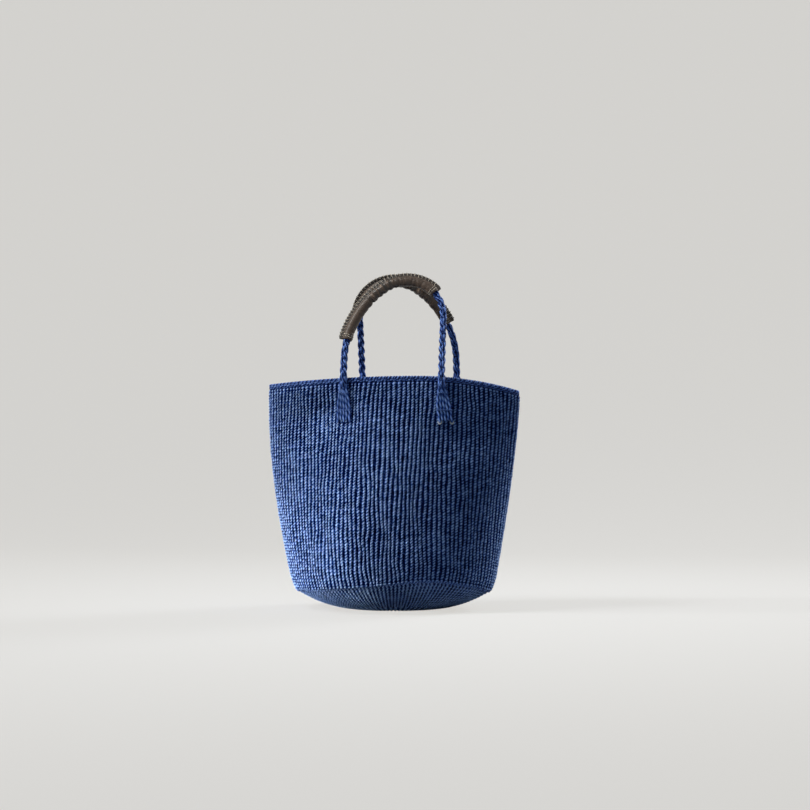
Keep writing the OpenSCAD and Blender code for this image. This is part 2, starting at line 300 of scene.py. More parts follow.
def sisal_weave():
    """Dyed sisal, twined: each stitch its own shade, with fibres along it, and painted shade in the gaps
    round it and between stitches.
    """
    material = new_material("sisal_weave", Specular_IOR_Level=0.02)
    places = pattern_places(material)
    row = places["Y"]
    past_quarter = sums(material, "GREATER_THAN", row, float(QUARTER_ROW))
    past_half = sums(material, "GREATER_THAN", row, float(HALF_ROW))
    cords = layered(material, 1 / 4, (past_quarter, 1 / 4), (past_half, 1 / 2))
    rib = sums(material, "MULTIPLY", places["X"], cords)
    swell = ripple(material, row)
    cell = vector(material, sums(material, "FLOOR", rib), sums(material, "FLOOR", row))
    shade = node(material, "TexWhiteNoise", {"Vector": cell}, noise_dimensions="2D").outputs["Value"]
    fibre = noise(material, stretched(material, rib, row, WEAVE_FIBRES), detail=3.0, roughness=0.6)
    patch = noise(material, object_places(material), WEAVE_PATCHES)
    # Under the base the painted shade of the gaps is wider and the crests are paler, painted light for the
    # light the underside lacks.
    on_base = sums(material, "LESS_THAN", row, float(BASE_ROWS + 1))
    edge = layered(material, GAP_EDGE, (on_base, BASE_GAP_PAINTED_SHADE))
    # Painted shade: dark across the gap beside a rib and at the ends of each stitch, lighter where a stitch
    # crosses the gap.
    across = {"Value": ripple(material, rib), "From Min": edge, "From Max": FULL_EDGE}
    core = node(material, "MapRange", across, interpolation_type="SMOOTHSTEP").outputs["Result"]
    full = layered(material, STITCH_END_SHADE, (sums(material, "POWER", swell, STITCH_FALL), 1 - STITCH_END_SHADE))
    crossing = sums(material, "MULTIPLY", sums(material, "POWER", swell, CROSSING_FALL), CROSSING)
    bead = sums(material, "MAXIMUM", sums(material, "MULTIPLY", core, full), crossing)
    stand_out = layered(material, RIB_TONE, (on_base, BASE_PAINTED_LIGHT))
    tone = layered(material, GAP_PAINTED_SHADE, (bead, stand_out), (shade, STITCH_TONE), (fibre, FIBRE_TONE),
                   (patch, PATCH_TONE))
    colour = ramp(material, tone, SISAL_STOPS)
    roughness = layered(material, WEAVE_ROUGH, (fibre, FIBRE_ROUGH))
    height = layered(material, bead, (fibre, FIBRE_BUMP))
    return finish_surface(material, colour, roughness, height, WEAVE_BUMP)


def dress(piece, material, slot, *solids):
    """Gives a piece its finish and hides the solids it stands for. The slot is not used."""
    piece.data.materials.clear()
    piece.data.materials.append(material)
    if solids:
        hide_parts(*solids)
    return piece


def dish_sheet(reach, angle, inset):
    """The base's lower face, or with an inset its upper face, out to a share of the way to the crease."""
    rise = np.clip((reach - DISH_FLAT) / (1 - DISH_FLAT), 0, 1) ** 2
    edge = crease_height(angle) + (MITRE if inset else 0)
    x, y = plan(angle, 0.0, inset)
    return np.stack([reach * x, reach * y, inset + (edge - inset) * rise], axis=-1)


def spoke_relief(rib, row):
    """Relief of the base, whose cords halve in number twice on the way to the middle."""
    inner = smooth((row - QUARTER_ROW) / MERGE_ROWS + 0.5)
    outer = smooth((row - HALF_ROW) / MERGE_ROWS + 0.5)
    relief = weave_relief(rib / 4, row)
    relief = relief + (weave_relief(rib / 2, row) - relief) * inner
    return relief + (weave_relief(rib, row) - relief) * outer - STITCH_SWELL


rib_share = ((np.arange(RIBS)[:, None] + RIB_STOPS) / RIBS).reshape(-1)
rib_place = rib_share * RIBS
slant = np.tile(STITCH_SLANT, RIBS)
weave = sisal_weave()
base_angle = even_angles(0.0, rib_share)[None, :]
base_row = np.arange(2 * BASE_ROWS + 1)[:, None] / 2
base_reach = np.clip((base_row + slant * smooth(base_row / SLANT_ROWS)) / BASE_ROWS, 0, 1)
base_under = dish_sheet(base_reach, base_angle, 0.0)
base_under += outward_normals(base_under) * spoke_relief(rib_place, base_row)[..., None]
inner_row = np.linspace(BASE_ROWS, 0, BASE_INNER_STEPS)[:, None]
base_top = dish_sheet(inner_row / BASE_ROWS, base_angle, WALL_T)
base_relief = INNER_RELIEF * spoke_relief(rib_place, inner_row + MID_STITCH)
base_top += outward_normals(base_top) * base_relief[..., None]
base = lay_round("base", [base_under, base_top], [base_row[:, 0], inner_row[:, 0]])
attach(dress(base, weave, "sisal_weave", "woven_base"), "bag")

# Crease row
# Two heavier sisal yarns twined round each other along the crease, worked in as the base turns up into
# the wall. They show as a line of bright beads.
CREASE_YARN_R = 0.0010
CREASE_WIND_R = 0.85 * CREASE_YARN_R   # from the middle of the pair to that of each yarn
CREASE_SINK = 0.0006    # how far the pair lies back in the weave, and how much farther at the two ends
CREASE_END_SINK = 0.0016
CREASE_END_NEAR = 8     # the higher, the nearer to the ends that starts
CREASE_BEADS = RIBS     # half twists of the pair round the bag, one to a cord
CREASE_SIDES = 8
CREASE_STEPS = 5        # rings to a bead
CREASE_TWIST = 0.009    # length in which a ply goes once round its yarn
YARN_PLIES = 2
UPRIGHT = np.array([0.0, 0.0, 1.0])
MM = 1000.0             # millimetres to a metre
TUBE_CAP = ((0.55, 0.8), (0.9, 0.4), (1.0, 0.0))   # rings of a rounded end: reach and size, in radii


def closed_run(line):
    """Directions along a line that closes on itself."""
    return unit(np.roll(line, -1, axis=0) - np.roll(line, 1, axis=0))


def round_sides(line):
    """The outward and the upward side of a line that runs round the bag."""
    along = closed_run(line)
    out = unit(np.cross(along, UPRIGHT))
    return out, np.cross(out, along)


def tube_end(middle, onward, radius, spread):
    """Rings that round off a strand's end."""
    return np.array([middle + onward * radius * far + radius * near * spread for far, near in TUBE_CAP])


def lay_tube(name, line, across, radius, sides, width=1.0, closed=False, begin=0.0):
    """A strand along a line, its width lying along across. UV runs round it, and in millimetres along it."""
    along = closed_run(line) if closed else unit(np.gradient(line, axis=0))
    first = unit(np.cross(along, across))
    second = np.cross(along, first) * width
    turn = np.linspace(0, 2 * np.pi, sides + 1)
    spread = np.cos(turn)[:, None] * first[:, None] + np.sin(turn)[:, None] * second[:, None]
    radius = np.broadcast_to(radius, (len(line), sides + 1))[..., None]
    rings = line[:, None] + radius * spread
    travel = begin + np.concatenate([[0], np.cumsum(np.linalg.norm(np.diff(line, axis=0), axis=1))])
    if closed:
        rings = np.concatenate([rings, rings[:1]])
        travel = np.append(travel, travel[-1] + np.linalg.norm(line[0] - line[-1]))
    else:
        start = tube_end(line[0], -along[0], radius[0], spread[0])[::-1]
        end = tube_end(line[-1], along[-1], radius[-1], spread[-1])
        rings = np.concatenate([start, rings, end])
        travel = np.concatenate([np.full(len(start), travel[0]), travel, np.full(len(end), travel[-1])])
    return lay_grid(name, rings, pattern_grid(turn / (2 * np.pi), MM * travel))


def join(name, parts):
    """Makes one piece of several."""
    bpy.ops.object.select_all(action="DESELECT")
    for part in parts:
        part.select_set(True)
    bpy.context.view_layer.objects.active = parts[0]
    if len(parts) > 1:
        bpy.ops.object.join()
    parts[0].name = name
    parts[0].data.name = name
    return parts[0]


PLY_FALL = 0.9          # how soon a ply falls off to the painted shade of the groove beside it
SIDE_SHADE_FALL = 3.0       # how near to a strand's sides its painted shade stays
YARN_TONE = 0.5         # where a ply's layers of tone start
YARN_FIBRE_TONE = 0.50  # how far fibres differ, and larger patches
YARN_PATCH_TONE = 0.24
YARN_FIBRES = (4.0, 0.22)   # marks of fibre to a ply and to a millimetre along it
YARN_PATCHES = 120.0    # patches to a metre
YARN_ROUGH = 0.45
YARN_BUMP = 0.0004


def sisal_yarn(name, plies, twist, pale=0.0, groove=0.95, beside=0.0, stops=SISAL_STOPS):
    """Dyed sisal, spun: plies wind round the yarn with fibres along them, painted shade in the grooves
    between them, and, where beside is set, painted shade at the strand's sides.
    """
    material = new_material(name, Specular_IOR_Level=0.16)
    places = pattern_places(material)
    lead = layered(material, places["X"], (places["Y"], 1 / (MM * twist)))
    ply = sums(material, "MULTIPLY", lead, float(plies))
    swell = ripple(material, ply)
    fibre = noise(material, stretched(material, ply, places["Y"], YARN_FIBRES), detail=3.0, roughness=0.65)
    patch = noise(material, object_places(material), YARN_PATCHES)
    # Painted shade: darker in the grooves between plies, and at the strand's two sides where beside is set.
    side = ripple(material, sums(material, "MULTIPLY", places["X"], 2.0))
    side = sums(material, "POWER", side, SIDE_SHADE_FALL)
    round_ply = sums(material, "POWER", swell, PLY_FALL)
    tone = layered(material, pale + YARN_TONE - groove, (side, -beside), (round_ply, groove),
                   (fibre, YARN_FIBRE_TONE), (patch, YARN_PATCH_TONE))
    colour = ramp(material, tone, stops)
    roughness = layered(material, YARN_ROUGH, (fibre, FIBRE_ROUGH))
    height = layered(material, swell, (fibre, FIBRE_BUMP))
    return finish_surface(material, colour, roughness, height, YARN_BUMP)


crease_share = np.arange(CREASE_BEADS * CREASE_STEPS) / (CREASE_BEADS * CREASE_STEPS)
crease_angle = even_angles(0.0, crease_share)
crease_x, crease_y = plan(crease_angle, 0.0)
crease_line = np.stack([crease_x, crease_y, crease_height(crease_angle)], axis=-1)
crease_out, crease_up = round_sides(crease_line)
crease_sink = CREASE_SINK + CREASE_END_SINK * np.cos(crease_angle)[:, None] ** CREASE_END_NEAR
crease_yarn = sisal_yarn("sisal_crease_yarn", YARN_PLIES, CREASE_TWIST)
crease_strands = []
for half_turn in (0, np.pi):
    wind = np.pi * CREASE_BEADS * crease_share[:, None] + half_turn
    wound = crease_line - crease_sink * crease_out
    wound = wound + CREASE_WIND_R * (np.cos(wind) * crease_out + np.sin(wind) * crease_up)
    crease_strands.append(lay_tube("crease", wound, crease_up, CREASE_YARN_R, CREASE_SIDES, closed=True))
crease_row = join("crease_row", crease_strands)
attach(dress(crease_row, crease_yarn, "sisal_yarn"), "bag")

# Woven wall
# The same weave goes on upwards from the crease: upright ribs of slanted stitches. It opens from the oval
# of the base to the lens of the mouth, is stiff enough to stand, and sags a little where it was carried.
WALL_ROWS = 72
WALL_INNER_STEPS = 14
RIB_CREST = 0.0005      # how far the ribs stand out of the sheet
WALL_TUCK = 0.0036      # how far the wall's top goes up into the rim plait, and how far it draws in there
WALL_DRAW = 0.0012
RIB_WANDER = (          # how far the ribs wander, in ribs, waves round the bag, waves up it, phase
    (0.28, 2, 0.35, 1.0),
    (0.20, 7, -0.8, 2.2),
    (0.10, 19, 1.9, 4.1),
)
RIB_STRAY = 0.08        # how far a rib strays by itself, in ribs
STRAY_PASSES = (30, 1)  # how much that is eased along a rib and from rib to rib
STITCH_UNEVEN = 0.00022
STITCH_DRIFT = 0.14     # unevenness of a stitch's height, in stitches
END_ROWS = 1.5          # rows at the crease and at the rim in which stitches even out
RIM_H = 0.008
RIM_PEAK = 0.25         # place of the rim's highest point, as a share of the half width
LEFT_DROP = 0.011
right_drop = rim_high.z - RIM_H - rim_low.z
BOW = -0.0025           # sideways lean of the wall at mid height
RIM_HOLD = 0.16         # share of the wall's height over which the rim holds it in shape
FRONT, REAR = -1, 1
SLACK = (               # side, x, z, half width, half height, how far it stands out
    (FRONT, 0.118, 0.238, 0.050, 0.016, -0.0040),
    (FRONT, 0.128, 0.195, 0.045, 0.018, 0.0022),
    (FRONT, -0.095, 0.275, 0.055, 0.060, -0.0135),
    (FRONT, -0.055, 0.090, 0.050, 0.060, 0.0115),
    (FRONT, 0.012, 0.170, 0.060, 0.050, 0.0016),
    (FRONT, 0.092, 0.062, 0.040, 0.012, -0.0030),
    (REAR, -0.090, 0.200, 0.060, 0.030, -0.0034),
    (REAR, 0.070, 0.140, 0.060, 0.050, 0.0028),
)


def rim_height(across):
    """Height of the rim's top at a share of the half width."""
    left = LEFT_DROP * ((RIM_PEAK - across) / (1 + RIM_PEAK)) ** 2
    right = right_drop * ((across - RIM_PEAK) / (1 - RIM_PEAK)) ** 2
    return rim_high.z - np.where(across < RIM_PEAK, left, right)


def slack(side, x, z, height):
    """How far the wall stands out where it sags or swells, at a place on its front or rear below the rim."""
    total = np.zeros(np.broadcast(x, z).shape)
    for face, at_x, at_z, half_w, half_h, depth in SLACK:
        spread = ((x - at_x) / half_w) ** 2 + ((z - at_z) / half_h) ** 2
        total = total + np.where(side == face, depth, 0.0) * np.exp(-spread)
    return total * smooth((1 - height) / RIM_HOLD)


def wall_sheet(angle, height, inset):
    """The wall's outer face, or with an inset its inner face, at a share of its height."""
    x, y = plan(angle, height, inset)
    low = crease_height(angle) + (MITRE if inset else 0)
    z = low + (rim_height(np.cos(angle)) - RIM_H - low) * height
    side = np.where(y < 0, FRONT, REAR)
    y = y + side * slack(side, x, z, height) * smooth(END_FADE * np.abs(np.sin(angle)))
    return np.stack([x + BOW * np.sin(np.pi * height), y, z], axis=-1)


def eased(line, passes, closed=True):
    """A line, softened. An open one keeps its two ends."""
    for _ in range(passes):
        soft = (np.roll(line, 1, axis=0) + 2 * line + np.roll(line, -1, axis=0)) / 4
        line = soft if closed else np.concatenate([line[:1], soft[1:-1], line[-1:]])
    return line


def each_stitch(spread):
    """A chance value for each stitch of the wall, at all of its points."""
    drawn = chance.normal(0, spread, (WALL_ROWS, RIBS))
    return np.repeat(drawn, len(RIB_STOPS), axis=1)[stitch_of]


wall_step = np.arange(2 * WALL_ROWS + 1)
wall_row = wall_step[:, None] / 2
wall_up = wall_row / WALL_ROWS
stitch_of = ((wall_step - 1) // 2).clip(0)   # a point between two stitches goes with the lower one
wander = sum(size * np.sin(2 * np.pi * (round_ * rib_share + up * wall_up) + phase)
             for size, round_, up, phase in RIB_WANDER)
stray = eased(chance.normal(size=(len(wall_row), RIBS)), STRAY_PASSES[0])
stray = eased(stray.T, STRAY_PASSES[1]).T
wander = wander + np.repeat(RIB_STRAY * stray / stray.std(), len(RIB_STOPS), axis=1)
wall_share = rib_share + wander / RIBS
wall_angle = np.array([even_angles(up, share) for up, share in zip(wall_up[:, 0], wall_share)])
stitch_rise = each_stitch(STITCH_DRIFT)
stitch_fat = each_stitch(STITCH_UNEVEN)
ends_fade = smooth(wall_row / END_ROWS) * smooth((WALL_ROWS - wall_row) / END_ROWS)
on_rib = np.sin(np.pi * rib_place) ** 2
wall_at = np.clip((wall_row + (slant + stitch_rise * on_rib) * ends_fade) / WALL_ROWS, 0, 1)
wall_out = wall_sheet(wall_angle, wall_at, 0.0)
wall_lift = RIB_CREST + weave_relief(rib_place, wall_row) + stitch_fat * on_rib * ends_fade
wall_out += outward_normals(wall_out) * wall_lift[..., None]
top_draw = WALL_DRAW * outward_normals(wall_out)[-1:]
top_tuck = WALL_TUCK * UPRIGHT
wall_top = wall_out[-1:] - top_draw + top_tuck
inner_up = np.linspace(1, 0, WALL_INNER_STEPS)[:, None]
inner_angle = np.array([even_angles(up, rib_share) for up in inner_up[:, 0]])
wall_in = wall_sheet(inner_angle, inner_up, WALL_T)
wall_in += outward_normals(wall_in) * INNER_RELIEF * weave_relief(rib_place, MID_STITCH)[None, :, None]
wall_in = np.concatenate([wall_in, wall_out[:1]])
wall_inner_top = wall_in[:1] + top_draw + top_tuck
wall_first_row = BASE_ROWS + 2   # the pattern's rows count on from those of the base
wall = lay_round("wall", [wall_out, wall_top, wall_inner_top, wall_in], [
    wall_first_row + wall_row[:, 0],
    np.full(2, wall_first_row + WALL_ROWS + MID_STITCH),
    np.append(wall_first_row + WALL_ROWS * inner_up[:, 0], wall_first_row)])
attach(dress(wall, weave, "sisal_weave", "woven_wall"), "bag")

# Rim plait
# Three sisal strands plaited along the top of the wall, round the cord ends, so that the weave can't run.
# The plait is a little thicker than the wall and follows the rim's rise and fall.
RIM_PLAITS = 60         # lengths of the plait's repeat round the mouth
RIM_STEPS = 14          # rings to a repeat
RIM_STRAND_R = 0.0013
RIM_STRAND_WIDTH = 1.35
RIM_SWING_UP = 0.0021
RIM_SWING_OUT = 0.0015
RIM_SIDES = 10
RIM_EASE = 10           # passes that ease the plait round the mouth's two corners
RIM_TWIST = 0.008       # length in which a ply goes once round its strand
RIM_PAINTED_SHADE = -0.06        # how much paler than plain yarn it is, below 0 darker; here darker, as painted shade on the rim
STRANDS = 3


def plait_strand(line, wide, deep, phase, swing_wide, swing_deep):
    """A strand's way in a flat plait of three: from side to side once, over and under twice, in a repeat."""
    phase = phase[:, None]
    return line + swing_wide * np.sin(phase) * wide + swing_deep * np.sin(2 * phase) * deep


rim_share = np.arange(RIM_PLAITS * RIM_STEPS) / (RIM_PLAITS * RIM_STEPS)
rim_angle = even_angles(1.0, rim_share)
rim_x, rim_y = plan(rim_angle, 1.0, WALL_T / 2)
rim_line = np.stack([rim_x, rim_y, rim_height(np.cos(rim_angle)) - RIM_H / 2], axis=-1)
rim_line = eased(rim_line, RIM_EASE)
rim_out, rim_up = round_sides(rim_line)
# The plait is painted a little darker than plain yarn, as shade on the rim.
rim_yarn = sisal_yarn("sisal_plait", YARN_PLIES, RIM_TWIST, pale=RIM_PAINTED_SHADE)
rim_strands = []
for strand in range(STRANDS):
    phase = 2 * np.pi * (RIM_PLAITS * rim_share + strand / STRANDS)
    way = plait_strand(rim_line, rim_up, rim_out, phase, RIM_SWING_UP, RIM_SWING_OUT)
    rim_strands.append(lay_tube("rim", way, rim_up, RIM_STRAND_R, RIM_SIDES, RIM_STRAND_WIDTH, closed=True))
rim = join("rim_plait_strands", rim_strands)
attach(dress(rim, rim_yarn, "sisal_plait", "rim_plait"), "bag")

# Rope handles
# Two ropes of three plaited sisal strands, each an arch that leans in over the mouth. A rope folds at the
# rim, where its strands go down into the fans that are sewn to the wall.
HANDLE_R = 0.067        # half the distance between a handle's legs
SHORT_LEG = 0.028
CROWN_R = 0.052         # radius of the tight bend over the longer leg
MEET_COS, MEET_SIN = 0.6, 0.8   # slope at which the wide bend runs on into the tight one
SWEEP = math.acos(MEET_COS)
SWEEP_R = (2 * HANDLE_R - CROWN_R * (1 + MEET_COS)) / (1 - MEET_COS)
LONG_LEG = SHORT_LEG + (SWEEP_R - CROWN_R) * MEET_SIN
CROWN_FROM = SHORT_LEG + SWEEP_R * SWEEP
LONG_LEG_FROM = CROWN_FROM + CROWN_R * (math.pi - SWEEP)
HANDLE_LEN = LONG_LEG_FROM + LONG_LEG
LEAN = math.radians(19)
ROPE_TAIL = 0.015       # length of rope below the fold, inside the fan's neck
ROPE_TUCK = 0.0022      # how far the tail draws in towards the wall
ROPE_STEP = 0.0012
ROPE_REPEAT = 0.0380    # length of the plait's repeat
ROPE_STRAND_R = 0.0021
ROPE_STRAND_WIDTH = 1.20
ROPE_SWING_WIDE = 0.0024
ROPE_SWING_DEEP = 0.0020
ROPE_SIDES = 12
ROPE_PLIES = 3
ROPE_TWIST = 0.034      # length in which a ply goes once round its strand
ROPE_PALE = -0.08
ROPE_EASE = 6           # passes that ease the rope at its bends
LOBE = 0.10             # how far the plies of a strand stand out, as a share of its radius
HANDLES = {}
for joint, body, facing in zip(frame["joints"], ("front_handle", "rear_handle"), (1, -1)):
    HANDLES[body] = {"foot": np.array(joint["pos_m"]), "facing": facing}


def arch(length):
    """Places along a handle in its own plane, from its shorter leg's foot, with the outward side at each."""
    sweeping = (length - SHORT_LEG) / SWEEP_R
    crowning = SWEEP + (length - CROWN_FROM) / CROWN_R
    turn = np.clip(np.where(length < CROWN_FROM, sweeping, crowning), 0, math.pi)
    outward = np.stack([-np.cos(turn), np.zeros_like(turn), np.sin(turn)], axis=-1)
    swept = np.array([SWEEP_R - HANDLE_R, 0.0, SHORT_LEG]) + SWEEP_R * outward
    crowned = np.array([HANDLE_R - CROWN_R, 0.0, LONG_LEG]) + CROWN_R * outward
    places = np.where((length < CROWN_FROM)[..., None], swept, crowned)
    places[..., 2] += np.minimum(length - SHORT_LEG, 0) - np.maximum(length - LONG_LEG_FROM, 0)
    return places, outward


def lean_in(handle, vectors):
    """Turns directions from a handle's own plane to the way it leans. The rear handle faces backwards."""
    x, y, z = np.moveaxis(np.asarray(vectors, float), -1, 0)
    facing = handle["facing"]
    back = y * math.cos(LEAN) + z * math.sin(LEAN)
    return np.stack([facing * x, facing * back, z * math.cos(LEAN) - y * math.sin(LEAN)], axis=-1)


def ply_radius(radius, length, plies, twist, sides):
    """Radius of a spun strand round and along it, with the plies standing out."""
    turn = np.linspace(0, 2 * np.pi, sides + 1)
    return radius * (1 + LOBE * np.cos(plies * (turn[None, :] + 2 * np.pi * length[:, None] / twist)))


rope_yarn = sisal_yarn("sisal_rope", ROPE_PLIES, ROPE_TWIST, pale=ROPE_PALE)
rope_length = np.arange(-ROPE_TAIL, HANDLE_LEN + ROPE_TAIL, ROPE_STEP)
for body, handle in HANDLES.items():
    places, outward = arch(rope_length)
    line = handle["foot"] + lean_in(handle, places)
    wide = lean_in(handle, outward)
    deep = np.broadcast_to(lean_in(handle, [0.0, 1.0, 0.0]), line.shape)
    tail = np.maximum(np.maximum(-rope_length, rope_length - HANDLE_LEN), 0)
    line[:, 1] += handle["facing"] * (tail * math.sin(LEAN) + ROPE_TUCK * smooth(tail / ROPE_TAIL))
    line = eased(line, ROPE_EASE, closed=False)
    strands = []
    for strand in range(STRANDS):
        phase = 2 * np.pi * (rope_length / ROPE_REPEAT + strand / STRANDS)
        way = plait_strand(line, wide, deep, phase, ROPE_SWING_WIDE, ROPE_SWING_DEEP)
        radius = ply_radius(ROPE_STRAND_R, rope_length, ROPE_PLIES, ROPE_TWIST, ROPE_SIDES)
        strands.append(lay_tube("rope", way, wide, radius, ROPE_SIDES, ROPE_STRAND_WIDTH))
    rope = join(body + "_plaited_rope", strands)
    dress(rope, rope_yarn, "sisal_rope", body.replace("handle", "rope"))
    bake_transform(rope)

# Rope ends
# Below the fold each rope opens into five spun strands that lie side by side on the wall as a fan. On the
# right-hand fans the two outer strands end in small loops of undyed yarn.
FAN_LEN = 0.055
FAN_W = 0.021
NECK_W = 0.0085
FAN_TOP_DROP = 0.0052   # from the line on which a rope folds down to the fan's neck
FAN_DRIFT = 0.006       # sideways drift of the right-hand fans at their lower end
DRIFT_LATE = 1.5        # above 1 makes the drift set in late
SPREAD_SHARE = 0.7      # share of its length over which a fan spreads
FAN_CLOSE = 0.05        # how much the right-hand fans draw in again at their lower end
FAN_STRAND_R = 0.0021
FAN_LIE = 0.85 * FAN_STRAND_R   # from the ribs' crests to the middle of a strand
FAN_PLACES = (-0.8, -0.4, 0.0, 0.4, 0.8)
FAN_RAGGED = (0.0, 0.05, 0.02, 0.06, 0.01)   # how far short each strand stops, as a share of the length
FAN_FROM = -0.1         # where the strands start, up inside the rope
FAN_STEPS = 72
FAN_SIDES = 12
FAN_TWIST = 0.019       # length in which a ply goes once round its strand
FAN_GROOVE_SHADE = 0.50       # how dark the painted shade is in the grooves between plies, and at the strand's sides
FAN_SIDE_SHADE = 0.75
NECK_SHARE = 0.45       # share of the fan's length over which its neck flattens out
NECK_OUT = 0.5          # how far out the neck starts, from the ribs to the line on which the rope folds
NECK_STAGGER = 0.0016   # every other strand lies this far back in the neck
LOOP_R = 0.0021
LOOP_YARN_R = 0.0010
LOOP_DOWN = 1.02        # place of a loop's middle, as a share of the fan's length
LOOP_STEPS = 16
LOOP_SIDES = 6
LOOP_TWIST = 0.006
LOOP_PALE = 0.6
UNDYED_STOPS = ((0.0, (0.50, 0.53, 0.58)), (1.0, (0.88, 0.90, 0.93)))
FACE_START = 0.8        # share of the wall's height at which the search for a place starts, and its rounds
FACE_ROUNDS = 6


def wall_face(x, z, side):
    """Distance of the ribs' crests from the middle plane at a place on the front or the rear."""
    height = np.full(np.broadcast(x, z).shape, FACE_START)
    for _ in range(FACE_ROUNDS):
        half_w = base_high.x + (wall_high.x - base_high.x) * (1 - (1 - height) ** FLARE)
        across = np.clip(x / half_w, -1, 1)
        low = crease_height(side * np.arccos(across))
        height = np.clip((z - low) / (rim_height(across) - RIM_H - low), 0, 1)
    return plan(np.arccos(across), height)[1] + slack(side, x, z, height) + RIB_CREST


def fan_x(fan, down, place):
    """Sideways place at a share of a fan's length, and of half its width."""
    close = fan["drift"] / FAN_DRIFT * FAN_CLOSE * smooth((down - SPREAD_SHARE) / (1 - SPREAD_SHARE))
    width = (NECK_W + (FAN_W - NECK_W) * smooth(down / SPREAD_SHARE)) * (1 - close)
    return fan["foot"] + fan["drift"] * np.maximum(down, 0) ** DRIFT_LATE + place / 2 * width


def fan_line(fan, down, place, lift):
    """Points down a fan at a place across it, raised from the wall."""
    x = fan_x(fan, down, place)
    z = fan["top"] - FAN_LEN * down
    flat = smooth(down / NECK_SHARE)
    neck = (fan["hinge"] - wall_face(fan["foot"], fan["top"], fan["side"])) * NECK_OUT
    out = wall_face(x, np.minimum(z, fan["top"]), fan["side"]) + neck + (lift - neck) * flat
    return np.stack([x, fan["side"] * out, z], axis=-1)


fan_yarn = sisal_yarn("sisal_fan", YARN_PLIES, FAN_TWIST, groove=FAN_GROOVE_SHADE, beside=FAN_SIDE_SHADE)
loop_yarn = sisal_yarn("sisal_loop", YARN_PLIES, LOOP_TWIST, pale=LOOP_PALE, stops=UNDYED_STOPS)
FANS = {}
for body, handle in HANDLES.items():
    side = FRONT if handle["facing"] > 0 else REAR
    face = body.split("_")[0]
    for hand, foot, drift in (("left", -HANDLE_R, 0.0), ("right", HANDLE_R, FAN_DRIFT)):
        FANS[face + "_" + hand] = {"side": side, "foot": handle["foot"][0] + foot, "drift": drift,
                                   "hinge": abs(handle["foot"][1]), "top": handle["foot"][2] - FAN_TOP_DROP}
for name, fan in FANS.items():
    parts = []
    for number, (place, short) in enumerate(zip(FAN_PLACES, FAN_RAGGED)):
        down = np.linspace(FAN_FROM, 1 - short, FAN_STEPS)
        line = fan_line(fan, down, place, FAN_LIE)
        line[:, 1] -= fan["side"] * NECK_STAGGER * (number % 2) * (1 - smooth(down / NECK_SHARE))
        across = np.broadcast_to([1.0, 0.0, 0.0], line.shape)
        begin = chance.uniform(0, FAN_TWIST)
        radius = ply_radius(FAN_STRAND_R, begin + FAN_LEN * down, YARN_PLIES, FAN_TWIST, FAN_SIDES)
        parts.append(lay_tube("strand", line, across, radius, FAN_SIDES, begin=begin))
    strands = join(name + "_strands", parts)
    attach(dress(strands, fan_yarn, "sisal_rope", name + "_fan"), "bag")
    if not fan["drift"]:
        continue
    loops = []
    for place in (FAN_PLACES[0], FAN_PLACES[-1]):
        turn = np.linspace(0, 2 * np.pi, LOOP_STEPS, endpoint=False)[:, None]
        middle = fan_line(fan, np.array([LOOP_DOWN]), place, LOOP_YARN_R)[0]
        ring = middle + LOOP_R * (np.cos(turn) * [1.0, 0.0, 0.0] + np.sin(turn) * UPRIGHT)
        facing_out = np.broadcast_to([0.0, 1.0, 0.0], ring.shape)
        loops.append(lay_tube("loop", ring, facing_out, LOOP_YARN_R, LOOP_SIDES, closed=True))
    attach(dress(join(name + "_end_loops", loops), loop_yarn, "sisal_yarn"), "bag")

# Fan lashings
# Thin sisal yarn sewn across each fan in two places. Each stitch lies over the strands and goes down
# through the wall at both sides.
LASHING_R = 0.0008
LASHING_PLACES = (0.3, 0.72)
LASHING_REACH = 1.12    # half length of a stitch, as a share of half the fan's width
LASHING_STEPS = 48
LASHING_SIDES = 8
LASHING_LOW = 1.3       # height of a stitch over the fan's bed between strands, and its rise over one
LASHING_RISE = 0.5      # both in strand radii
LASHING_SINK = 0.004    # how deep its ends go into the wall
LASHING_DIP = 0.12      # share of half the fan's width in which they do
LASHING_EASE = 2
LASHING_TWIST = 0.005
lashing_yarn = sisal_yarn("sisal_lashing", YARN_PLIES, LASHING_TWIST)
for name, fan in FANS.items():
    stitches = []
    for down in LASHING_PLACES:
        over = np.linspace(-LASHING_REACH, LASHING_REACH, LASHING_STEPS)
        line = fan_line(fan, np.full(LASHING_STEPS, down), over, 0.0)
        lobe = np.abs(np.sin(np.pi * len(FAN_PLACES) * (over + 1) / 2))
        raised = FAN_STRAND_R * (LASHING_LOW + LASHING_RISE * lobe) + LASHING_R
        sunk = LASHING_SINK * smooth((np.abs(over) - 1) / LASHING_DIP)
        raised = np.where(np.abs(over) < 1, raised, 0.0) - sunk
        out = wall_face(line[:, 0], line[:, 2], fan["side"])
        line[:, 1] = fan["side"] * (np.maximum(np.abs(line[:, 1]), out) + raised)
        line = eased(line, LASHING_EASE, closed=False)
        upright = np.broadcast_to(UPRIGHT, line.shape)
        stitches.append(lay_tube("lashing", line, upright, LASHING_R, LASHING_SIDES))
    lashing = join(name + "_yarn_lashing", stitches)
    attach(dress(lashing, lashing_yarn, "sisal_yarn", name + "_lashing"), "bag")

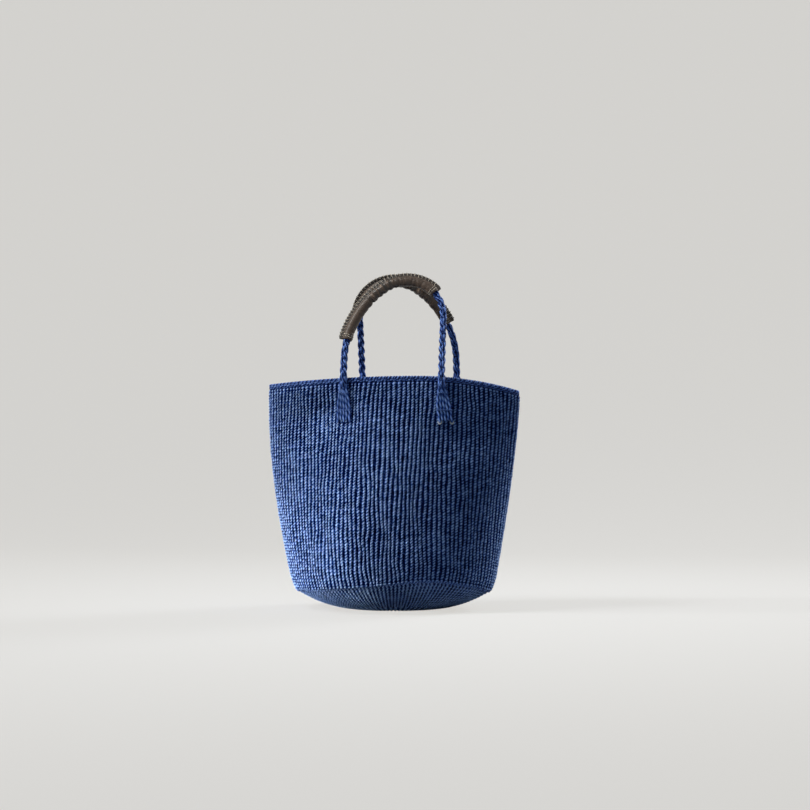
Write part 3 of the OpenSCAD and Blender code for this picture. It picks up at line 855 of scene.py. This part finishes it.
# Leather grips
# A strip of soft grey-brown leather wrapped round each rope, its two long edges standing up together as a
# seam along the outside of the arch. On the inside of the bend it is creased and crumpled, with painted
# shade and highlights over the crumples, and a painted highlight runs along its inside on the right.
GRIP_R = 0.0070
GRIP_BORE = 0.0046
SEAM_H = 0.005
SEAM_T = 0.0034
SEAM_PARTING = 0.0007   # depth of the line where the two edges meet, and its half width as an angle
PARTING_WIDTH = 0.28
GRIP_LEN = 0.170
GRIP_STARTS = {"front_handle": 0.054, "rear_handle": 0.082}   # from the foot of the shorter leg
GRIP_STEPS = 300
GRIP_INNER_STEPS = 60
WRAP_STEPS = 48         # steps of the section round the rope, up the seam's side and over its top
RISE_STEPS = 5
OVER_STEPS = 10
END_TUCK = 0.07         # how much narrower the leather is at its ends, as a share, and how soon
END_TUCK_LEN = 0.0012
STITCH_PITCH = 0.0045
STITCH_INSET = 0.003    # from the grip's end to the first stitch
SEAM_PULL = 0.00028     # how far a stitch pulls in the seam, from where up on it, and over what height
SEAM_PULL_FROM = 0.3 * SEAM_H
SEAM_PULL_OVER = 0.6 * SEAM_H
CREASES = 22
CREASE_DEPTH = 0.0005
CREASE_MARGIN = 0.006   # from the grip's end to where creases may lie
FOLDS = (-0.025, -0.015, -0.006, 0.004, 0.012, 0.022)   # the deep folds, from the tight bend's start
FOLD_DEPTH = 0.0016
FOLD_WIDTH = 0.0027
FOLD_SKEW = 0.0016      # how far folds and creases run askew
FOLD_TURN = 6.28        # a full turn, as they may lean to any side
FOLD_WIDTHS = (0.6, 1.4)    # spread of their widths and of their depths
FOLD_DEPTHS = (0.4, 1.0)
BEND_INSIDE = 0.68      # how far round from the inside of the bend they reach, and how soon they fade
BEND_FADE = 0.8
SIDEWAYS = np.array([0.0, -1.0, 0.0])   # across a handle's own plane


def grip_outline():
    """The wrapped strip in section, outward and sideways: round the rope, then up and over the seam."""
    root = math.asin(SEAM_T / 2 / GRIP_R)
    turn = np.linspace(root, 2 * math.pi - root, WRAP_STEPS + 1)
    wrap = np.stack([GRIP_R * np.cos(turn), GRIP_R * np.sin(turn)], axis=-1)
    shoulder = GRIP_R + SEAM_H - SEAM_T / 2
    rise = np.linspace(wrap[0, 0], shoulder, RISE_STEPS + 1)[1:]
    left = np.stack([rise, np.full_like(rise, -SEAM_T / 2)], axis=-1)
    over = np.linspace(-math.pi / 2, math.pi / 2, OVER_STEPS + 1)[1:-1]
    parting = SEAM_PARTING * np.exp(-(over / PARTING_WIDTH) ** 2)
    top = np.stack([shoulder + SEAM_T / 2 * np.cos(over) - parting, SEAM_T / 2 * np.sin(over)], axis=-1)
    right = left[::-1] * [1.0, -1.0]
    return eased(np.concatenate([wrap, left, top, right]), 1)


LEATHER_STOPS = (
    (0.0, (0.0085, 0.0050, 0.0032)),
    (0.45, (0.054, 0.0318, 0.0198)),
    (0.70, (0.135, 0.0860, 0.0560)),
    (1.0, (0.360, 0.262, 0.192)),
)
GRAINS = 1300.0         # grains to a metre, and clouds
CLOUDS = 70.0
HANDLED = 26.0          # half length of the crumpled stretch at the tight bend, in millimetres
STREAKS = (9.0, 0.55)   # marks of fine folds round the strip and to a millimetre of its length
CRUMPLES = (2.4, 0.20)  # the same for crumples
INNER_LINE = 0.353      # place of the inside of the bend, as a share of the way round the strip
GLINT_ASIDE = 0.065      # how far from it a pale line is painted as a highlight, and how wide
GLINT_WIDTH = 0.022
GLINT_FROM, GLINT_TO = 0.030, 0.048   # x from which the painted highlight sets in, and where it is full
SEAM_FROM = 0.715       # from here round, the strip is the standing seam, painted darker
GLINT_TONE = 0.34        # how far each of these differs from plain leather
SEAM_TONE = -0.38
CLOUD_TONE = 0.55
STREAK_TONE = 0.25
GRAIN_TONE = 0.18
# Painted shade and highlights: light and dark bands over the crumples.
CRUMPLE_PAINTED_SHADE = 4.0
CRUMPLE_SHADE_START = -2.14
LEATHER_ROUGH = 0.40
CLOUD_ROUGH = 0.30
HANDLED_ROUGH = -0.16
STREAK_BUMP = 0.8
CRUMPLE_BUMP = 11.0
LEATHER_BUMP = 0.0002


def bell(material, value):
    """1 where the value is 0, and falling off to both sides."""
    square = sums(material, "MULTIPLY", value, value)
    return sums(material, "EXPONENT", sums(material, "MULTIPLY", square, -1.0))


def grip_leather():
    """Soft waxed leather: fine grain, crumples where it is held with painted shade and highlights over them,
    a painted highlight along the inside, and a darker seam.
    """
    material = new_material("grip_leather", Specular_IOR_Level=0.5, Coat_Weight=0.10, Coat_Roughness=0.3)
    spot = object_places(material)
    places = pattern_places(material)
    grain = node(material, "TexVoronoi", {"Vector": spot, "Scale": GRAINS}, feature="SMOOTH_F1")
    grain = grain.outputs["Distance"]
    cloud = noise(material, spot, CLOUDS, detail=4.0, roughness=0.6)
    streak = stretched(material, places["X"], places["Y"], STREAKS)
    streak = noise(material, streak, detail=3.0, roughness=0.6)
    crumple = noise(material, stretched(material, places["X"], places["Y"], CRUMPLES))
    handled = bell(material, sums(material, "MULTIPLY", places["Y"], 1 / HANDLED))
    # Painted highlight: a pale line along the inside of the bend, on the grips' right-hand part.
    inside = sums(material, "ABSOLUTE", sums(material, "ADD", places["X"], -INNER_LINE))
    painted_glint = sums(material, "MULTIPLY", sums(material, "ADD", inside, -GLINT_ASIDE), 1 / GLINT_WIDTH)
    right = node(material, "SeparateXYZ", {"Vector": spot}).outputs["X"]
    right = node(material, "MapRange", {"Value": right, "From Min": GLINT_FROM, "From Max": GLINT_TO})
    painted_glint = sums(material, "MULTIPLY", bell(material, painted_glint), right.outputs["Result"])
    seam = sums(material, "GREATER_THAN", places["X"], SEAM_FROM)
    # Painted shade and highlights over the crumples where the grip is held.
    painted_crumple_shade = layered(material, CRUMPLE_SHADE_START, (crumple, CRUMPLE_PAINTED_SHADE))
    tone = layered(material, 0.0, (painted_glint, GLINT_TONE), (seam, SEAM_TONE), (cloud, CLOUD_TONE),
                   (streak, STREAK_TONE), (handled, painted_crumple_shade), (grain, GRAIN_TONE))
    colour = ramp(material, tone, LEATHER_STOPS)
    roughness = layered(material, LEATHER_ROUGH, (cloud, CLOUD_ROUGH), (handled, HANDLED_ROUGH))
    crumpled = sums(material, "MULTIPLY", crumple, handled)
    height = layered(material, grain, (streak, STREAK_BUMP), (crumpled, CRUMPLE_BUMP))
    return finish_surface(material, colour, roughness, height, LEATHER_BUMP)


leather = grip_leather()
outline = grip_outline()
outline_angle = np.arctan2(outline[:, 1], outline[:, 0])
outline_run = np.roll(outline, -1, axis=0) - np.roll(outline, 1, axis=0)
outline_out = unit(np.stack([outline_run[:, 1], -outline_run[:, 0]], axis=-1))
inside_bend = smooth(BEND_INSIDE - BEND_FADE * np.cos(outline_angle))
seam_top = smooth((outline[:, 0] - GRIP_R - SEAM_PULL_FROM) / SEAM_PULL_OVER)
bore = GRIP_BORE * np.stack([np.cos(outline_angle), np.sin(outline_angle)], axis=-1)
for body, handle in HANDLES.items():
    start = GRIP_STARTS[body]
    length = np.linspace(0, GRIP_LEN, GRIP_STEPS)
    wrinkle = np.zeros((GRIP_STEPS, len(outline)))
    creases = [chance.uniform(CREASE_MARGIN, GRIP_LEN - CREASE_MARGIN) for _ in range(CREASES)]
    folds = [(CROWN_FROM - start + at, FOLD_DEPTH, FOLD_WIDTH) for at in FOLDS]
    folds += [(at, CREASE_DEPTH, FOLD_WIDTH / 2) for at in creases]
    for at, deep, width in folds:
        skew = chance.normal(0, FOLD_SKEW)
        lies = length[:, None] - at - skew * np.sin(outline_angle + chance.uniform(0, FOLD_TURN))
        lies = lies / (width * chance.uniform(*FOLD_WIDTHS))
        wrinkle -= deep * chance.uniform(*FOLD_DEPTHS) * np.exp(-lies ** 2) * inside_bend
    pull = np.cos(2 * np.pi * (length - STITCH_INSET) / STITCH_PITCH)[:, None]
    wrinkle -= SEAM_PULL * (0.5 + 0.5 * pull) * seam_top
    tuck = 1 - END_TUCK * (np.exp(-length / END_TUCK_LEN) + np.exp(-(GRIP_LEN - length) / END_TUCK_LEN))
    section = outline * tuck[:, None, None] + outline_out * wrinkle[..., None]
    inside = np.broadcast_to(bore, (GRIP_INNER_STEPS, *bore.shape))
    section = np.concatenate([section, inside, section[:1]])
    length = np.concatenate([length, np.linspace(GRIP_LEN, 0, GRIP_INNER_STEPS), [0.0]])
    places, outward = arch(start + length)
    points = places[:, None] + section[..., :1] * outward[:, None] + section[..., 1:] * SIDEWAYS
    points = handle["foot"] + lean_in(handle, points)
    points = np.concatenate([points, points[:, :1]], axis=1)
    share = np.linspace(0, 1, points.shape[1])
    from_bend = MM * (start + length - CROWN_FROM)
    grip = lay_grid(body + "_leather_grip", points, pattern_grid(share, from_bend))
    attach(dress(grip, leather, "grip_leather", body.replace("handle", "grip")), body)

# Seam threads
# One pale waxed thread to a grip, whipped over the standing seam from end to end, so that it shows as
# slanted bars along both faces and over the top.
THREAD_R = 0.00052
THREAD_STAND = 0.6 * THREAD_R   # from the leather to the middle of the thread
THREAD_SIDES = 8
WHIP_STEPS = 18         # rings to one turn of the thread
WHIP_SQUARE = 0.55      # below 1 makes a turn hug the seam's square corners
WHIP_SINK = 0.0002      # how much nearer to the rope than the seam a turn lies
THREAD_STOPS = (
    (0.1, (0.16, 0.125, 0.09)),
    (0.45, (0.46, 0.40, 0.31)),
    (0.9, (0.74, 0.67, 0.55)),
)
THREAD_PLIES = 2.0
THREAD_TURNS = 0.55     # plies passed in a millimetre along the thread
THREAD_PLY_SHADE = 0.5
DIRT_SPOTS = 260.0      # spots of dirt to a metre
DIRT_TONE = 0.7
DIRT_ROUGH = 0.3
THREAD_ROUGH = 0.4
THREAD_BUMP = 0.0002


def waxed_thread():
    """Pale waxed linen: two fine plies with painted shade in the grooves between them, and spots of the
    leather's dirt.
    """
    material = new_material("pale_thread", Specular_IOR_Level=0.45)
    places = pattern_places(material)
    lead = sums(material, "MULTIPLY", places["X"], THREAD_PLIES)
    ply = ripple(material, layered(material, lead, (places["Y"], THREAD_TURNS)))
    dirt = noise(material, object_places(material), DIRT_SPOTS, detail=3.0)
    # Painted shade: the thread is darker in the grooves between its plies.
    tone = layered(material, 0.0, (ply, THREAD_PLY_SHADE), (dirt, DIRT_TONE))
    colour = ramp(material, tone, THREAD_STOPS)
    roughness = layered(material, THREAD_ROUGH, (dirt, DIRT_ROUGH))
    return finish_surface(material, colour, roughness, ply, THREAD_BUMP)


def squared(swing):
    """A swing from side to side that dwells at both sides."""
    return np.sign(swing) * np.abs(swing) ** WHIP_SQUARE


thread = waxed_thread()
whip_turns = int((GRIP_LEN - 2 * STITCH_INSET) / STITCH_PITCH)
for body, handle in HANDLES.items():
    step = np.arange(whip_turns * WHIP_STEPS + 1) / WHIP_STEPS
    length = GRIP_STARTS[body] + STITCH_INSET + STITCH_PITCH * step
    places, outward = arch(length)
    high = squared(np.cos(2 * np.pi * step)) * (SEAM_H / 2 + THREAD_STAND)
    out = squared(np.sin(2 * np.pi * step)) * (SEAM_T / 2 + THREAD_STAND)
    line = places + (GRIP_R + SEAM_H / 2 - WHIP_SINK + high)[:, None] * outward
    line = handle["foot"] + lean_in(handle, line + out[:, None] * SIDEWAYS)
    onward = unit(np.gradient(lean_in(handle, places), axis=0))
    whipping = lay_tube(body + "_whipped_thread", line, onward, THREAD_R, THREAD_SIDES)
    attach(dress(whipping, thread, "pale_thread", body.replace("handle", "seam_thread")), body)

# End stitches
# Two rows of pale running stitches round each end of a grip, sewn through the leather into the rope. They
# stop at the standing seam.
ROW_STEP = 0.003
ROW_OPENING = math.radians(64)
DASHES = 9
DASH_ROOM = (2 * math.pi - ROW_OPENING) / DASHES
DASH_SHARE = 0.74       # share of a stitch's room that its thread fills
DASH_STEPS = 10
DASH_SIDES = 6
DASH_SINK = 0.6 * THREAD_R   # how deep a stitch's ends lie in the leather, and how far its middle bows out
DASH_BOW = 1.1 * THREAD_R
DASH_ROUND = 0.5        # below 1 makes the bow full
for body, handle in HANDLES.items():
    start = GRIP_STARTS[body]
    face = body.split("_")[0]
    ends = {"left": (start + STITCH_INSET, ROW_STEP), "right": (start + GRIP_LEN - STITCH_INSET, -ROW_STEP)}
    if handle["facing"] < 0:
        ends = {"left": ends["right"], "right": ends["left"]}
    for hand, (first, step) in ends.items():
        dashes = []
        for at in (first, first + step):
            places, outward = arch(np.array([at]))
            onward = np.cross(lean_in(handle, outward), lean_in(handle, SIDEWAYS))
            for dash in range(DASHES):
                along = DASH_SHARE * np.linspace(-0.5, 0.5, DASH_STEPS)
                turn = ROW_OPENING / 2 + DASH_ROOM * (dash + 0.5 + along)
                bow = np.sin(np.linspace(0, np.pi, DASH_STEPS)) ** DASH_ROUND
                out = (GRIP_R - DASH_SINK + DASH_BOW * bow)[:, None]
                line = places + out * (np.cos(turn)[:, None] * outward + np.sin(turn)[:, None] * SIDEWAYS)
                line = handle["foot"] + lean_in(handle, line)
                across = np.broadcast_to(onward, line.shape)
                dashes.append(lay_tube("dash", line, across, THREAD_R, DASH_SIDES))
        stitches = join(f"{face}_{hand}_running_stitches", dashes)
        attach(dress(stitches, thread, "pale_thread", f"{face}_{hand}_end_stitches"), body)

# Floor and backdrop
# A plain pale sweep: a floor that turns up into a wall behind the bag.
STAGE_W = 60.0
STAGE_FRONT = 30.0
STAGE_BACK = 1.6
STAGE_H = 5.0
STAGE_BEND = 0.7
STAGE_BEND_STEPS = 16
STAGE_COLOUR = (0.150, 0.160, 0.175)
STAGE_GLOW = (0.640, 0.626, 0.596)   # evens out the background, and lights nothing
NEAR = 0.01             # an edge this close to a line lies on it


def seen_directly(material):
    """1 for what the camera sees, straight or in a reflection, and 0 for what only lights."""
    rays = node(material, "LightPath").outputs
    indirect = sums(material, "MAXIMUM", rays["Is Glossy Ray"], rays["Is Transmission Ray"])
    return sums(material, "MAXIMUM", rays["Is Camera Ray"], indirect)


bpy.ops.object.select_all(action="DESELECT")
bpy.ops.mesh.primitive_plane_add(size=1)
sweep = bpy.context.object
sweep.name = "sweep"
bpy.ops.object.mode_set(mode="EDIT")
bpy.ops.transform.resize(value=(STAGE_W, STAGE_FRONT + STAGE_BACK, 1))
bpy.ops.transform.translate(value=(0, (STAGE_BACK - STAGE_FRONT) / 2, 0))
bpy.ops.mesh.select_all(action="DESELECT")
bpy.ops.object.mode_set(mode="OBJECT")
for edge in sweep.data.edges:
    edge.select = all(sweep.data.vertices[corner].co.y > STAGE_BACK - NEAR for corner in edge.vertices)
bpy.ops.object.mode_set(mode="EDIT")
bpy.ops.mesh.select_mode(type="EDGE")
bpy.ops.mesh.extrude_region_move(TRANSFORM_OT_translate={"value": (0, 0, STAGE_H)})
bpy.ops.mesh.select_all(action="DESELECT")
bpy.ops.object.mode_set(mode="OBJECT")
for edge in sweep.data.edges:
    ends = [sweep.data.vertices[corner].co for corner in edge.vertices]
    edge.select = all(end.y > STAGE_BACK - NEAR and end.z < NEAR for end in ends)
bpy.ops.object.mode_set(mode="EDIT")
bpy.ops.mesh.bevel(offset=STAGE_BEND, segments=STAGE_BEND_STEPS, affect="EDGES")
bpy.ops.object.mode_set(mode="OBJECT")
bpy.ops.object.shade_smooth()
sweep_material = new_material("pale_sweep", Roughness=0.9, Specular_IOR_Level=0.1)
sweep_shader = sweep_material.node_tree.nodes["Principled BSDF"]
sweep_shader.inputs["Base Color"].default_value = (*STAGE_COLOUR, 1.0)
sweep_shader.inputs["Emission Color"].default_value = (*STAGE_GLOW, 1.0)
sweep_material.node_tree.links.new(seen_directly(sweep_material), sweep_shader.inputs["Emission Strength"])
sweep.data.materials.append(sweep_material)

# Light
# A soft box far off and low on the left, with a narrow grid that keeps it off the background, a weak soft
# box above the bag, one behind it that lights its rear, and a weak even fill.
FILL = 0.18
FILL_COLOUR = (0.52, 0.73, 1.0)
BEYOND_STAGE = (0.668, 0.662, 0.638)   # as pale as the stage looks at its edges
SOFT_BOXES = (          # name, place, aim, width, height, spread in degrees, colour, watts
    ("side_box", (-11.77, -2.33, 1.37), (0.0, 0.0, -0.206), 2.2, 0.4, 5.3, (1.0, 0.96, 0.90), 10.5),
    ("top_box", (-1.30, -0.60, 2.00), (0.0, 0.0, 0.45), 0.6, 0.6, 50.0, (1.0, 0.97, 0.92), 3.2),
    ("back_box", (1.70, 1.35, 1.40), (0.0, 0.0, 0.20), 1.0, 1.0, 50.0, (1.0, 0.98, 0.95), 5.5),
)
for name, place, aim, width, height, spread, colour, watts in SOFT_BOXES:
    lamp = bpy.data.lights.new(name, "AREA")
    lamp.shape = "RECTANGLE"
    lamp.size = width
    lamp.size_y = height
    lamp.spread = math.radians(spread)
    lamp.color = colour
    lamp.energy = watts
    box = bpy.data.objects.new(name, lamp)
    bpy.context.scene.collection.objects.link(box)
    box.location = place
    box.rotation_euler = (Vector(place) - Vector(aim)).to_track_quat("Z", "Y").to_euler()
world = bpy.data.worlds.new("room")
bpy.context.scene.world = world
world.use_nodes = True
fill = world.node_tree.nodes["Background"]
fill.inputs["Color"].default_value = (*FILL_COLOUR, 1.0)
fill.inputs["Strength"].default_value = FILL
pale = node(world, "Background", {"Color": (*BEYOND_STAGE, 1.0), "Strength": 1.0})
shown = node(world, "MixShader", {"Fac": seen_directly(world), 1: fill.outputs[0], 2: pale.outputs[0]})
world.node_tree.links.new(shown.outputs[0], world.node_tree.nodes["World Output"].inputs["Surface"])

# Camera
# The photograph's view: level, a little above the middle of the bag, from slightly to its right.
CAMERA_AWAY = 2.66
CAMERA_HEIGHT = 0.281
CAMERA_TURN = math.radians(6.5)
CAMERA_ASIDE = 0.016
CAMERA_LENS = 85.4      # millimetres, on a sensor of the width below
CAMERA_SENSOR = 36.0
lens = bpy.data.cameras.new("camera")
lens.lens = CAMERA_LENS
lens.sensor_width = CAMERA_SENSOR
camera = bpy.data.objects.new("camera", lens)
bpy.context.scene.collection.objects.link(camera)
toward = np.array([-math.sin(CAMERA_TURN), math.cos(CAMERA_TURN), 0.0])
aside = np.array([math.cos(CAMERA_TURN), math.sin(CAMERA_TURN), 0.0])
camera.location = CAMERA_ASIDE * aside - CAMERA_AWAY * toward + CAMERA_HEIGHT * UPRIGHT
camera.rotation_euler = (math.pi / 2, 0.0, CAMERA_TURN)
bpy.context.scene.camera = camera
bpy.context.scene.view_settings.view_transform = "Standard"
